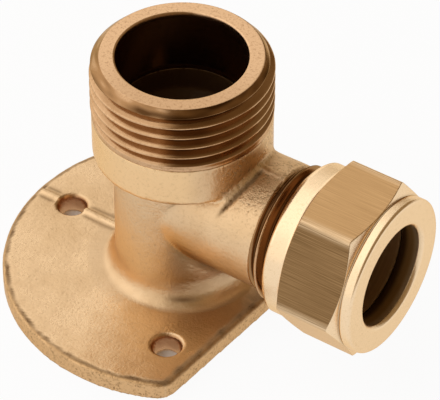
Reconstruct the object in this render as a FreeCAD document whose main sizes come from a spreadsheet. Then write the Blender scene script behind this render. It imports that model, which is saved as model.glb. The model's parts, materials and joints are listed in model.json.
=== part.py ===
"""Wall plate elbow: a cast brass elbow on a wall flange, with a threaded outlet and a compression inlet.

Frame, in millimetres: the origin is where the outlet's axis meets the wall, +Z runs along the outlet
away from the wall, and +X runs along the compression branch.  The threads are plain cylinders at their
outside diameter.
"""
import FreeCAD, Part
import math
import os
import Sketcher

doc = FreeCAD.newDocument("wall_plate_elbow")

# Driving dimensions, in millimetres and degrees
SIZES = {
    # wall flange: a disc trimmed straight on the branch side, with the mould's draft on the trimmed edge
    "flange_radius": 27.0,
    "flange_thickness": 3.0,
    "flange_flat_distance": 15.1,
    "flange_flat_draft": 4.6,
    "flange_corner_radius": 3.5,
    "flange_rim_radius": 0.6,
    # three screw holes, evenly spaced on a circle that lies a little behind the outlet
    "hole_circle_radius": 19.3,
    "hole_circle_setback": 1.2,
    "hole_radius": 2.2,
    "hole_chamfer": 0.3,
    # stem between the flange and the collar
    "stem_radius": 9.9,
    "stem_setback": 0.3,
    "foot_radius": 4.0,
    # collar, its underside measured from the branch's axis, and the threaded outlet above it
    "collar_rise": 6.9,
    "collar_height": 6.8,
    "collar_radius": 13.1,
    "collar_edge": 0.5,
    "collar_blend": 0.5,
    "outlet_thread_length": 10.3,
    "outlet_thread_radius": 13.22,
    "outlet_runout_width": 1.0,
    "outlet_runout_radius": 12.3,
    "outlet_end_radius": 11.8,
    "outlet_bore_radius": 9.5,
    "outlet_bore_depth": 14.0,
    # branch and its threaded spigot
    "branch_height": 18.0,
    "neck_root_radius": 9.5,
    "neck_end_radius": 9.6,
    "neck_end": 18.0,
    "neck_blend": 2.0,
    "spigot_thread_radius": 10.48,
    "spigot_end": 27.6,
    "spigot_chamfer": 0.6,
    # waterway and the socket that the pipe is pushed into
    "upright_way_radius": 6.6,
    "upright_way_point": 2.4,
    "branch_way_radius": 5.5,
    "pipe_radius": 7.5,
    "socket_clearance": 0.05,
    "socket_stop": 14.5,
    "seat_mouth_radius": 8.8,
    "seat_depth": 2.0,
    # raised parting line left by the mould
    "parting_width": 1.0,
    "parting_height": 0.35,
    # olive, the ring that the nut presses onto the pipe
    "olive_length": 6.0,
    "olive_wall": 1.2,
    "olive_bore_clearance": 0.1,
    "olive_tip": 0.3,
    "olive_gap": 0.13,
    # compression nut
    "nut_engagement": 6.5,
    "nut_thread_clearance": 0.15,
    "nut_mouth_clearance": 0.2,
    "nut_land": 3.25,
    "nut_collar_radius": 11.6,
    "nut_collar_length": 3.2,
    "nut_collar_chamfer": 0.4,
    "nut_across_flats": 23.8,
    "nut_rear_chamfer": 0.9,
    "nut_shoulder": 0.9,
    "nut_nose_radius": 11.85,
    "nut_nose_length": 1.8,
    "nut_nose_chamfer": 0.25,
    "nut_clocking": 4.6,
}
sheet = doc.addObject("Spreadsheet::Sheet", "dims")
for row, (alias, value) in enumerate(SIZES.items(), 1):
    sheet.set(f"A{row}", alias)
    sheet.set(f"B{row}", str(value))
    sheet.setAlias(f"B{row}", alias)
doc.recompute()


def size(expression):
    """The number that an expression on the sheet comes to."""
    return float(sheet.evalExpression(expression))


def origin_feature(body, role):
    """One of a body's own origin planes or axes."""
    return next(feature for feature in body.Origin.OriginFeatures if feature.Role == role)


def make_body(label):
    body = doc.addObject("PartDesign::Body", label)
    body.Label = label
    return body


def make_sketch(body, name, role, **offsets):
    """An empty sketch on an origin plane, moved within it by offsets such as y="dims.branch_height"."""
    sketch = body.newObject("Sketcher::SketchObject", name)
    sketch.AttachmentSupport = [(origin_feature(body, role), "")]
    sketch.MapMode = "FlatFace"
    for axis, expression in offsets.items():
        sketch.setExpression(f"AttachmentOffset.Base.{axis}", expression)
    return sketch


def fix_coordinate(sketch, point, kind, name, expression):
    """Set one coordinate of a point: 0 puts it on the axis, a leading minus puts it on the negative side."""
    if expression == "0":
        axis = -2 if kind == "DistanceX" else -1
        sketch.addConstraint(Sketcher.Constraint("PointOnObject", *point, axis))
        return
    ends = (-1, 1, *point)
    if expression.startswith("-"):
        expression = expression[1:]
        ends = (*point, -1, 1)
    constraint = sketch.addConstraint(Sketcher.Constraint(kind, *ends, size(expression)))
    sketch.renameConstraint(constraint, name)
    sketch.setExpression(f"Constraints.{name}", expression)


def draw_profile(sketch, corners):
    """Draw a closed outline of straight runs through corners, each an expression across and one up."""
    places = [FreeCAD.Vector(size(across), size(up), 0) for across, up in corners]
    count = len(corners)
    for index in range(count):
        sketch.addGeometry(Part.LineSegment(places[index], places[(index + 1) % count]), False)
    for index in range(count):
        sketch.addConstraint(Sketcher.Constraint("Coincident", index, 2, (index + 1) % count, 1))
    for index, (across, up) in enumerate(corners):
        fix_coordinate(sketch, (index, 1), "DistanceX", f"across_{index}", across)
        fix_coordinate(sketch, (index, 1), "DistanceY", f"up_{index}", up)


def draw_circle(sketch, radius, across="0"):
    """Draw one circle on the sketch's horizontal axis."""
    centre = FreeCAD.Vector(size(across), 0, 0)
    sketch.addGeometry(Part.Circle(centre, FreeCAD.Vector(0, 0, 1), size(radius)), False)
    constraint = sketch.addConstraint(Sketcher.Constraint("Radius", 0, size(radius)))
    sketch.renameConstraint(constraint, "radius")
    sketch.setExpression("Constraints.radius", radius)
    fix_coordinate(sketch, (0, 3), "DistanceX", "centre_across", across)
    fix_coordinate(sketch, (0, 3), "DistanceY", "centre_up", "0")


def turn(body, name, kind, sketch, axis):
    """A Revolution or Groove of a sketch, all the way round one of the sketch's axes."""
    feature = body.newObject(f"PartDesign::{kind}", name)
    feature.Profile = sketch
    feature.ReferenceAxis = (sketch, [axis])
    feature.Angle = 360.0
    doc.recompute()
    return feature


def pad(body, name, sketch, length, midplane=False):
    feature = body.newObject("PartDesign::Pad", name)
    feature.Profile = sketch
    feature.Midplane = midplane
    feature.setExpression("Length", length)
    doc.recompute()
    return feature


def check_cut(feature):
    """Stop if a Pocket or Groove took nothing off the solid before it."""
    if not feature.Shape.Volume < feature.BaseFeature.Shape.Volume:
        raise RuntimeError(f"{feature.Name} cut nothing")
    return feature


def pocket_upwards(body, name, sketch):
    """Cut a sketch through everything on the side that its plane's axis points to."""
    feature = body.newObject("PartDesign::Pocket", name)
    feature.Profile = sketch
    feature.Type = "ThroughAll"
    feature.Reversed = True
    doc.recompute()
    return check_cut(feature)


def dress(body, name, kind, base, sizes, test):
    """A Fillet or Chamfer on every edge of a feature that passes a test."""
    names = [f"Edge{index}" for index, edge in enumerate(base.Shape.Edges, 1) if test(edge)]
    if not names:
        raise RuntimeError(f"{name}: no edge found")
    feature = body.newObject(f"PartDesign::{kind}", name)
    feature.Base = (base, names)
    for prop, expression in sizes.items():
        feature.setExpression(prop, expression)
    doc.recompute()
    return feature


TOLERANCE = 1e-3


def is_circle(edge, radius, height):
    """Whether an edge is a level circle of that radius at that height."""
    curve = edge.Curve
    if not isinstance(curve, Part.Circle):
        return False
    return abs(curve.Radius - radius) < TOLERANCE and abs(curve.Center.z - height) < TOLERANCE


def middle(edge):
    return edge.valueAt((edge.FirstParameter + edge.LastParameter) / 2)


# Where the pieces meet, as expressions on the sheet
COLLAR_BOTTOM = "(dims.branch_height + dims.collar_rise)"
THREAD_START = f"({COLLAR_BOTTOM} + dims.collar_height)"
OUTLET_TOP = f"({THREAD_START} + dims.outlet_thread_length)"
FLAT_BESIDE_STEM = ("((dims.flange_flat_distance + dims.stem_setback) * cos(dims.flange_flat_draft * 1deg)"
                    " - dims.stem_radius)")
STEM_UNDER_BRANCH = "(dims.branch_height - dims.neck_root_radius - dims.flange_thickness)"
SOCKET = "(dims.pipe_radius + dims.socket_clearance)"
SEAT_SLOPE = f"((dims.seat_mouth_radius - {SOCKET}) / dims.seat_depth)"
SEAT_BOTTOM = "(dims.spigot_end - dims.seat_depth)"
OLIVE_BORE = "(dims.pipe_radius + dims.olive_bore_clearance)"
OLIVE_OUTSIDE = f"({OLIVE_BORE} + dims.olive_wall)"
OLIVE_START = f"({SEAT_BOTTOM} + ({OLIVE_BORE} + dims.olive_tip + dims.olive_gap - {SOCKET}) / {SEAT_SLOPE})"
OLIVE_SHOULDER = f"((dims.olive_wall - dims.olive_tip) / {SEAT_SLOPE})"
NUT_REAR = "(dims.spigot_end - dims.nut_engagement)"
NUT_MOUTH = "(dims.pipe_radius + dims.nut_mouth_clearance)"
NUT_BORE = "(dims.spigot_thread_radius + dims.nut_thread_clearance)"
NUT_CONE_END = (f"({OLIVE_START} + dims.olive_length + {OLIVE_BORE} + dims.olive_tip + dims.olive_gap * sqrt(2)"
                f" - {NUT_MOUTH} - {NUT_REAR})")
NUT_LENGTH = f"({NUT_CONE_END} + dims.nut_land)"
NUT_CORNER = "(dims.nut_across_flats / sqrt(3))"


# Cast body: flange
def build_flange(body):
    disc = make_sketch(body, "flange_disc", "XY_Plane")
    draw_circle(disc, "dims.flange_radius")
    pad(body, "flange", disc, "dims.flange_thickness")

    trim = make_sketch(body, "flange_trim", "XY_Plane")
    reach = "dims.flange_radius * 1.2"
    drawn_in = f"(dims.flange_flat_distance - {reach} * tan(dims.flange_flat_draft * 1deg))"
    draw_profile(trim, [("dims.flange_flat_distance", "0"), (reach, "0"), (reach, reach), (drawn_in, reach)])
    flat = pocket_upwards(body, "flange_flat", trim)
    both = body.newObject("PartDesign::Mirrored", "flange_flat_mirrored")
    both.Originals = [flat]
    both.MirrorPlane = (origin_feature(body, "XZ_Plane"), [""])
    body.Tip = both
    doc.recompute()

    rim = size("dims.flange_radius")
    corners = dress(
        body, "flange_corners", "Fillet", both, {"Radius": "dims.flange_corner_radius"},
        lambda edge: isinstance(edge.Curve, Part.Line) and edge.BoundBox.ZLength > TOLERANCE
        and abs(middle(edge).y) > TOLERANCE and middle(edge).x > 0)
    top = size("dims.flange_thickness")
    return dress(
        body, "flange_rim", "Fillet", corners, {"Radius": "dims.flange_rim_radius"},
        lambda edge: edge.BoundBox.ZMin > top - TOLERANCE and middle(edge).Length > rim / 4)


# Cast body: stem, branch and collar
def build_elbow(body):
    stem_circle = make_sketch(body, "stem_circle", "XY_Plane")
    draw_circle(stem_circle, "dims.stem_radius", "-dims.stem_setback")
    stem = pad(body, "stem", stem_circle, f"{COLLAR_BOTTOM} + dims.collar_height / 2")
    # both fillets are limited by the stem under the branch, and the foot's by the flange's level top too
    room_aside = f"{FLAT_BESIDE_STEM} - dims.flange_rim_radius * 2"
    room_above = f"{STEM_UNDER_BRANCH} * 3 / 4"
    room_below = f"{STEM_UNDER_BRANCH} * 2 / 5"
    dress(
        body, "stem_foot", "Fillet", stem, {"Radius": f"min(dims.foot_radius; {room_aside}; {room_above})"},
        lambda edge: is_circle(edge, size("dims.stem_radius"), size("dims.flange_thickness")))

    branch_profile = make_sketch(body, "branch_profile", "XZ_Plane", y="dims.branch_height")
    thread_rise = "(dims.spigot_thread_radius - dims.neck_end_radius)"
    draw_profile(branch_profile, [
        ("0", "0"),
        ("0", "dims.neck_root_radius"),
        ("dims.neck_end", "dims.neck_end_radius"),
        (f"dims.neck_end + {thread_rise}", "dims.spigot_thread_radius"),
        ("dims.spigot_end - dims.spigot_chamfer", "dims.spigot_thread_radius"),
        ("dims.spigot_end", "dims.spigot_thread_radius - dims.spigot_chamfer"),
        ("dims.spigot_end", "0"),
    ])
    turn(body, "branch", "Revolution", branch_profile, "H_Axis")

    outlet_profile = make_sketch(body, "outlet_profile", "XZ_Plane")
    end_chamfer = "(dims.outlet_thread_radius - dims.outlet_end_radius)"
    draw_profile(outlet_profile, [
        ("0", COLLAR_BOTTOM),
        ("dims.collar_radius - dims.collar_edge", COLLAR_BOTTOM),
        ("dims.collar_radius", f"{COLLAR_BOTTOM} + dims.collar_edge"),
        ("dims.collar_radius", THREAD_START),
        ("dims.outlet_runout_radius", THREAD_START),
        ("dims.outlet_runout_radius", f"{THREAD_START} + dims.outlet_runout_width"),
        ("dims.outlet_thread_radius", f"{THREAD_START} + dims.outlet_runout_width"),
        ("dims.outlet_thread_radius", f"{OUTLET_TOP} - {end_chamfer}"),
        ("dims.outlet_end_radius", OUTLET_TOP),
        ("0", OUTLET_TOP),
    ])
    outlet = turn(body, "outlet", "Revolution", outlet_profile, "V_Axis")
    crotch = dress(
        body, "stem_branch_blend", "Fillet", outlet, {"Radius": f"min(dims.neck_blend; {room_below})"},
        lambda edge: isinstance(edge.Curve, Part.BSplineCurve)
        and edge.BoundBox.ZMin < size("dims.branch_height"))
    collar = size("dims.collar_radius")
    return dress(
        body, "collar_branch_blend", "Fillet", crotch, {"Radius": "dims.collar_blend"},
        lambda edge: isinstance(edge.Curve, Part.BSplineCurve)
        and all(abs(math.hypot(end.X, end.Y) - collar) < TOLERANCE for end in edge.Vertexes))


# Cast body: the low ridge where the two halves of the mould met
def build_parting_line(body):
    ridge_top = "dims.flange_thickness + dims.parting_height"
    on_flange = make_sketch(body, "flange_ridge_outline", "XZ_Plane")
    outer_end = "-(dims.flange_radius - dims.flange_rim_radius)"
    draw_profile(on_flange, [
        ("-dims.stem_radius", "dims.flange_thickness / 2"),
        ("-dims.stem_radius", ridge_top),
        (outer_end, ridge_top),
        (outer_end, "dims.flange_thickness / 2"),
    ])
    pad(body, "flange_ridge", on_flange, "dims.parting_width", midplane=True)

    on_neck = make_sketch(body, "neck_ridge_outline", "XZ_Plane", y="dims.branch_height")
    draw_profile(on_neck, [
        ("dims.stem_radius", "dims.neck_end_radius - dims.parting_height"),
        ("dims.neck_end", "dims.neck_end_radius - dims.parting_height"),
        ("dims.neck_end", "dims.neck_end_radius + dims.parting_height"),
        ("dims.stem_radius", "dims.neck_root_radius + dims.parting_height"),
    ])
    pad(body, "neck_ridge", on_neck, "dims.parting_width", midplane=True)


# Cast body: waterway, outlet bore and pipe socket, drilled after casting
def build_bores(body):
    outlet_bore = make_sketch(body, "outlet_bore_profile", "XZ_Plane")
    way_bottom = "(dims.branch_height - dims.upright_way_radius)"
    bore_bottom = f"({OUTLET_TOP} - dims.outlet_bore_depth)"
    bore_cone = "(dims.outlet_bore_radius - dims.upright_way_radius)"
    above = f"({OUTLET_TOP} + dims.outlet_bore_radius)"
    draw_profile(outlet_bore, [
        ("0", f"{way_bottom} - dims.upright_way_point"),
        ("dims.upright_way_radius", way_bottom),
        ("dims.upright_way_radius", f"{bore_bottom} - {bore_cone}"),
        ("dims.outlet_bore_radius", bore_bottom),
        ("dims.outlet_bore_radius", above),
        ("0", above),
    ])
    check_cut(turn(body, "outlet_bore", "Groove", outlet_bore, "V_Axis"))

    pipe_socket = make_sketch(body, "pipe_socket_profile", "XZ_Plane", y="dims.branch_height")
    beyond = "(dims.spigot_end + dims.pipe_radius)"
    draw_profile(pipe_socket, [
        ("0", "0"),
        ("0", "dims.branch_way_radius"),
        ("dims.socket_stop", "dims.branch_way_radius"),
        ("dims.socket_stop", SOCKET),
        (SEAT_BOTTOM, SOCKET),
        ("dims.spigot_end", "dims.seat_mouth_radius"),
        (beyond, "dims.seat_mouth_radius"),
        (beyond, "0"),
    ])
    check_cut(turn(body, "pipe_socket", "Groove", pipe_socket, "H_Axis"))


# Cast body: screw holes
def build_holes(body):
    hole_circle = make_sketch(body, "hole_outline", "XY_Plane", x="-dims.hole_circle_setback")
    draw_circle(hole_circle, "dims.hole_radius", "-dims.hole_circle_radius")
    hole = pocket_upwards(body, "hole", hole_circle)
    holes = body.newObject("PartDesign::PolarPattern", "holes")
    holes.Originals = [hole]
    holes.Axis = (hole_circle, ["N_Axis"])
    holes.Angle = 360.0
    holes.Occurrences = 3
    body.Tip = holes
    doc.recompute()
    flange_top = size("dims.flange_thickness")
    dress(
        body, "hole_edges", "Chamfer", holes, {"Size": "dims.hole_chamfer"},
        lambda edge: is_circle(edge, size("dims.hole_radius"), flange_top))


# Olive: a barrel-shaped ring between the spigot's seat and the nut's cone
def build_olive():
    olive = make_body("olive")
    outline = make_sketch(olive, "olive_profile", "XZ_Plane", y="dims.branch_height")
    olive_end = f"({OLIVE_START} + dims.olive_length)"
    draw_profile(outline, [
        (OLIVE_START, OLIVE_BORE),
        (OLIVE_START, f"{OLIVE_BORE} + dims.olive_tip"),
        (f"{OLIVE_START} + {OLIVE_SHOULDER}", OLIVE_OUTSIDE),
        (f"{olive_end} - dims.olive_wall + dims.olive_tip", OLIVE_OUTSIDE),
        (olive_end, f"{OLIVE_BORE} + dims.olive_tip"),
        (olive_end, OLIVE_BORE),
    ])
    turn(olive, "ring", "Revolution", outline, "H_Axis")
    return olive


# Compression nut: turned from hexagon bar, with a plain collar behind and a round nose in front
def build_nut():
    nut = make_body("compression_nut")
    blank = make_sketch(nut, "nut_profile", "XZ_Plane")
    hex_start = "dims.nut_collar_length"
    draw_profile(blank, [
        ("0", NUT_BORE),
        ("0", "dims.nut_collar_radius - dims.nut_collar_chamfer"),
        ("dims.nut_collar_chamfer", "dims.nut_collar_radius"),
        (hex_start, "dims.nut_collar_radius"),
        (f"{hex_start} + dims.nut_rear_chamfer", NUT_CORNER),
        (f"{NUT_LENGTH} - dims.nut_nose_length - dims.nut_shoulder", NUT_CORNER),
        (f"{NUT_LENGTH} - dims.nut_nose_length", "dims.nut_nose_radius"),
        (f"{NUT_LENGTH} - dims.nut_nose_chamfer", "dims.nut_nose_radius"),
        (NUT_LENGTH, "dims.nut_nose_radius - dims.nut_nose_chamfer"),
        (NUT_LENGTH, NUT_MOUTH),
        (NUT_CONE_END, NUT_MOUTH),
        (f"{NUT_CONE_END} - {NUT_BORE} + {NUT_MOUTH}", NUT_BORE),
    ])
    turn(nut, "nut_blank", "Revolution", blank, "H_Axis")

    flat_outline = make_sketch(nut, "nut_flat_outline", "XZ_Plane")
    half = "(dims.nut_across_flats / 2)"
    draw_profile(flat_outline, [
        ("0", half), (NUT_LENGTH, half), (NUT_LENGTH, "dims.nut_across_flats"), ("0", "dims.nut_across_flats")])
    flat = nut.newObject("PartDesign::Pocket", "nut_flat")
    flat.Profile = flat_outline
    flat.Midplane = True
    flat.setExpression("Length", "dims.nut_across_flats * 2")
    doc.recompute()
    check_cut(flat)
    flats = nut.newObject("PartDesign::PolarPattern", "nut_flats")
    flats.Originals = [flat]
    flats.Axis = (flat_outline, ["H_Axis"])
    flats.Angle = 360.0
    flats.Occurrences = 6
    nut.Tip = flats
    nut.Placement = FreeCAD.Placement(
        FreeCAD.Vector(size(NUT_REAR), 0, size("dims.branch_height")),
        FreeCAD.Rotation(FreeCAD.Vector(1, 0, 0), size("dims.nut_clocking")))
    nut.setExpression("Placement.Base.x", NUT_REAR)
    nut.setExpression("Placement.Base.z", "dims.branch_height")
    nut.setExpression("Placement.Rotation.Angle", "dims.nut_clocking")
    doc.recompute()
    return nut


fitting_body = make_body("fitting_body")
build_flange(fitting_body)
build_elbow(fitting_body)
build_parting_line(fitting_body)
build_bores(fitting_body)
build_holes(fitting_body)
sub_parts = [fitting_body, build_olive(), build_nut()]

# Check the document, then write one file for each sub-part
doc.recompute()
failed = [item.Name for item in doc.Objects if "Invalid" in item.State or "Error" in item.State]
if failed:
    raise RuntimeError(f"not built: {failed}")
os.makedirs("parts", exist_ok=True)
for sub_part in sub_parts:
    shape = sub_part.Shape
    if shape.isNull() or not shape.isValid() or len(shape.Solids) != 1:
        raise RuntimeError(f"{sub_part.Label}: not one valid solid")
    shape.exportStep(f"parts/{sub_part.Label}.step")
    print(sub_part.Label, round(shape.Volume, 2), shape.BoundBox)
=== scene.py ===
"""Looks of a wall plate elbow: a cast brass body with cut threads, a compression nut and its olive.

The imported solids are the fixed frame, in metres: the origin is on the wall face under the outlet,
+Z runs along the outlet and +X along the compression branch.
"""
import json
import math
import bmesh
import bpy
import numpy as np
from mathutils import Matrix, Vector


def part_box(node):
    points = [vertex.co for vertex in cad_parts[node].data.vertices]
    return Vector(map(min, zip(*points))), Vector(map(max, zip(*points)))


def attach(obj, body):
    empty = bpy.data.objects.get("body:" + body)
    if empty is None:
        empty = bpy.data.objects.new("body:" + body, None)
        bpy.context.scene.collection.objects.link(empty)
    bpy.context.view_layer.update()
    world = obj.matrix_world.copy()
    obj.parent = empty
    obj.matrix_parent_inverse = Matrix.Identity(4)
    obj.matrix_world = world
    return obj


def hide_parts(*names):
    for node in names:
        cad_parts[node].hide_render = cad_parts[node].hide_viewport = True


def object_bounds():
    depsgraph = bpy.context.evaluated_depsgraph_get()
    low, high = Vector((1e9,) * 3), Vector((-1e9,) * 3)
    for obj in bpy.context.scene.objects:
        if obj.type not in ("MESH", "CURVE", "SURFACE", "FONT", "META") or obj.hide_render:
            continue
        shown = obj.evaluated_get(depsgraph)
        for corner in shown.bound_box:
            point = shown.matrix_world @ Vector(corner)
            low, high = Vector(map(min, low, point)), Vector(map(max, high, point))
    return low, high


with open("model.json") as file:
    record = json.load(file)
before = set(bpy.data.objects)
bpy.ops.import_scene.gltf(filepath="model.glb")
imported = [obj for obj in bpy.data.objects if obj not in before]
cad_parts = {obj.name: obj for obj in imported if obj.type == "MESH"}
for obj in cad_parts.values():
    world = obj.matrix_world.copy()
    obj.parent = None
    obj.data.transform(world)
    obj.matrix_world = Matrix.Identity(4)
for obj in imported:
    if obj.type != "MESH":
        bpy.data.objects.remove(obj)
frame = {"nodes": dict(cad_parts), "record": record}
cad_box = [list(corner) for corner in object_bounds()]
MM = 0.001

# Camera: a long lens that looks down on the fitting from the front, over its branch.
# Its place comes from fitting the outlet's rim, the flange and the nut's mouth to the photograph.
CAMERA_AZIMUTH = math.radians(34.0)
CAMERA_ELEVATION = math.radians(42.4)
CAMERA_DISTANCE = 478 * MM
CAMERA_TARGET = Vector((6.67, -0.31, 18.0)) * MM
CAMERA_LENS = 270.0
CAMERA_SENSOR = 36.0
camera_data = bpy.data.cameras.new("camera")
camera_data.lens = CAMERA_LENS
camera_data.sensor_width = CAMERA_SENSOR
camera = bpy.data.objects.new("camera", camera_data)
to_camera = Vector((
    math.sin(CAMERA_AZIMUTH) * math.cos(CAMERA_ELEVATION),
    -math.cos(CAMERA_AZIMUTH) * math.cos(CAMERA_ELEVATION),
    math.sin(CAMERA_ELEVATION)))
camera.location = CAMERA_TARGET + to_camera * CAMERA_DISTANCE
camera.rotation_euler = to_camera.to_track_quat("Z", "Y").to_euler()
bpy.context.scene.collection.objects.link(camera)
bpy.context.scene.camera = camera

# Cast body: the flange, stem, collar and neck, one sand casting in brass with a blasted skin.
# The solid's own form, with its threaded ends cut off, is remeshed finely, so that its edges are as soft
# and its faces as uneven as a casting's.
mounts = {mount["name"]: mount for mount in frame["record"]["mounts"]}
COLLAR_TOP = 31.7 * MM
COLLAR_FOOT = 24.9 * MM
COLLAR_INNER = 12.0 * MM
NECK_END = 18.0 * MM
NECK_RADIUS = 9.6 * MM
FLANGE_RADIUS = -cad_box[0][0]
FLANGE_THICKNESS = 2 * mounts["fixing_holes"]["pos_m"][2]
FLANGE_FLAT = 15.1 * MM
FLANGE_FLAT_DRAFT = math.radians(4.6)
STEM_RADIUS = 9.9 * MM
SOLID_FOOT = 4.0 * MM
CAST_FOOT = 2.6 * MM
HOLE_TURNS = np.radians([60, 180, 300])
HOLE_RADIUS = mounts["fixing_holes"]["dims"]["hole_r_mm"] * MM
HOLE_CIRCLE = mounts["fixing_holes"]["dims"]["pcd_mm"] / 2 * MM
HOLE_CENTRE = mounts["fixing_holes"]["pos_m"][0]
HOLE_DRAFT = 0.5 * MM
HOLE_EDGE = 0.3 * MM
OUTLET_BORE = mounts["outlet_bore"]["dims"]["r_mm"] * MM
SOCKET_RADIUS = mounts["pipe_socket"]["dims"]["r_mm"] * MM
BRANCH_HEIGHT = mounts["pipe_socket"]["pos_m"][2]
SKIN_VOXEL = 0.33 * MM
SKIN_SMOOTHING = 4
EDGE_SMOOTHING = 2
HOLLOW_SMOOTHING = 6
UNEVEN_HEIGHT = 0.011 * MM
UNEVEN_WAVES = 60


def cut_off(mesh, point, direction):
    """Cut away what lies past a plane, and close the ring that the cut leaves between outside and bore."""
    geometry = mesh.verts[:] + mesh.edges[:] + mesh.faces[:]
    cut = bmesh.ops.bisect_plane(mesh, geom=geometry, plane_co=point, plane_no=direction, clear_outer=True)
    edges = [item for item in cut["geom_cut"] if isinstance(item, bmesh.types.BMEdge)]
    bmesh.ops.bridge_loops(mesh, edges=edges)


def uneven(points, shortest, longest, seed):
    """Random waviness with a spread of about 1: plane sine waves of random direction, length and phase."""
    draw = np.random.default_rng(seed)
    directions = draw.normal(size=(UNEVEN_WAVES, 3))
    directions /= np.linalg.norm(directions, axis=1, keepdims=True)
    lengths = draw.uniform(shortest, longest, UNEVEN_WAVES)
    phases = draw.uniform(0, 2 * math.pi, UNEVEN_WAVES)
    waves = np.sin(points @ (directions / lengths[:, None] * 2 * math.pi).T + phases)
    return waves.sum(axis=1) * math.sqrt(2 / UNEVEN_WAVES)


def soft_step(value):
    """0 below 0, 1 above 1, and a smooth S between."""
    value = np.clip(value, 0, 1)
    return value * value * (3 - 2 * value)


def rises(value, start, width):
    """A soft step from 0 at start to 1 at start + width."""
    return soft_step((value - start) / width)


def falls(value, end, width):
    """A soft step from 1 at end - width to 0 at end."""
    return soft_step((end - value) / width)


def bell(gap, width):
    """A bell curve: 1 where the gap is 0, and nearly 0 from two widths away."""
    return np.exp(-(gap / width) ** 2)


def read_vectors(items, name):
    """One vector property of all of a mesh's items, as an array with three columns."""
    values = np.empty(len(items) * 3)
    items.foreach_get(name, values)
    return values.reshape(-1, 3)


def set_masks(mesh, masks):
    """Store each array of values, one for each vertex, as a float attribute of the mesh."""
    for name, values in masks.items():
        layer = mesh.attributes.new(name, "FLOAT", "POINT")
        layer.data.foreach_set("value", np.asarray(values, np.float32).ravel())


def hollows(mesh, points, normals):
    """How hollow the surface is: how far a vertex's neighbours lie, on average, above its tangent plane."""
    ends = np.empty(len(mesh.edges) * 2, np.int32)
    mesh.edges.foreach_get("vertices", ends)
    first, second = ends.reshape(-1, 2).T
    count = np.bincount(ends, minlength=len(points))
    height = np.zeros(len(points))
    for one, other in ((first, second), (second, first)):
        lean = ((points[other] - points[one]) * normals[one]).sum(axis=1)
        height += np.bincount(one, weights=lean, minlength=len(points))
    height /= np.maximum(count, 1)
    for _ in range(HOLLOW_SMOOTHING):
        total = sum(np.bincount(one, weights=height[other], minlength=len(points))
                    for one, other in ((first, second), (second, first)))
        height = 0.5 * height + 0.5 * total / np.maximum(count, 1)
    return height


solid = bmesh.new()
solid.from_mesh(frame["nodes"]["fitting_body"].data)
bmesh.ops.remove_doubles(solid, verts=solid.verts, dist=0.001 * MM)
cut_off(solid, (0, 0, COLLAR_TOP), (0, 0, 1))
cut_off(solid, (NECK_END, 0, 0), (1, 0, 0))
blank_mesh = bpy.data.meshes.new("cast_blank")
solid.to_mesh(blank_mesh)
solid.free()
blank = bpy.data.objects.new("cast_blank", blank_mesh)
cast_body = bpy.data.objects.new("cast_body", blank_mesh)
for piece in (blank, cast_body):
    bpy.context.scene.collection.objects.link(piece)
remesh = cast_body.modifiers.new("remesh", "REMESH")
remesh.mode = "VOXEL"
remesh.voxel_size = SKIN_VOXEL
relax = cast_body.modifiers.new("relax", "SMOOTH")
relax.iterations = SKIN_SMOOTHING
settle = cast_body.modifiers.new("settle", "SHRINKWRAP")
settle.target = blank
settle.wrap_method = "NEAREST_SURFACEPOINT"
soften = cast_body.modifiers.new("soften", "SMOOTH")
soften.iterations = EDGE_SMOOTHING
skin = bpy.data.meshes.new_from_object(cast_body.evaluated_get(bpy.context.evaluated_depsgraph_get()))
cast_body.modifiers.clear()
cast_body.data = skin
bpy.data.objects.remove(blank)

points = read_vectors(skin.vertices, "co")
facing = read_vectors(skin.vertices, "normal")
x, y, z = points.T
from_outlet_axis = np.hypot(x, y)
from_branch_axis = np.hypot(y, z - BRANCH_HEIGHT)
turn = np.arctan2(y, x)
flat_gap = (FLANGE_FLAT - np.abs(y) * math.tan(FLANGE_FLAT_DRAFT) - x) * math.cos(FLANGE_FLAT_DRAFT)
round_gap = FLANGE_RADIUS - from_outlet_axis
rim_gap = np.minimum(round_gap, flat_gap)
on_flange = falls(z, FLANGE_THICKNESS + 0.5 * MM, 0.3 * MM)
below_top = z < FLANGE_THICKNESS - 0.1 * MM

# The foot's round fillet is drawn in at its outer edge, to the casting's, which is higher than it is wide.
# A short band of painted shade lies on it at the front, towards the branch.
FOOT_TOP = FLANGE_THICKNESS + SOLID_FOOT
FOOT_FADE = 1.5 * MM
FOOT_SHADE_RADIUS = STEM_RADIUS + CAST_FOOT / 4
FOOT_SHADE_WIDTH = 0.26 * MM
FOOT_SHADE_TURN = math.radians(-56)
FOOT_SHADE_SPREAD = math.radians(11.25)
fillet_across = STEM_RADIUS + SOLID_FOOT - from_outlet_axis
in_fillet = ~below_top & (z < FOOT_TOP)
on_foot = in_fillet & (fillet_across > 0) & (from_outlet_axis > SOCKET_RADIUS)
draw_in = np.where(on_foot, 1 - fillet_across / SOLID_FOOT, 0) * (SOLID_FOOT - CAST_FOOT)
draw_in = draw_in * falls(z, FOOT_TOP, FOOT_FADE)
foot_shade = bell(from_outlet_axis - draw_in - FOOT_SHADE_RADIUS, FOOT_SHADE_WIDTH)
foot_shade = foot_shade * bell(turn - FOOT_SHADE_TURN, FOOT_SHADE_SPREAD) * on_foot
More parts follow.
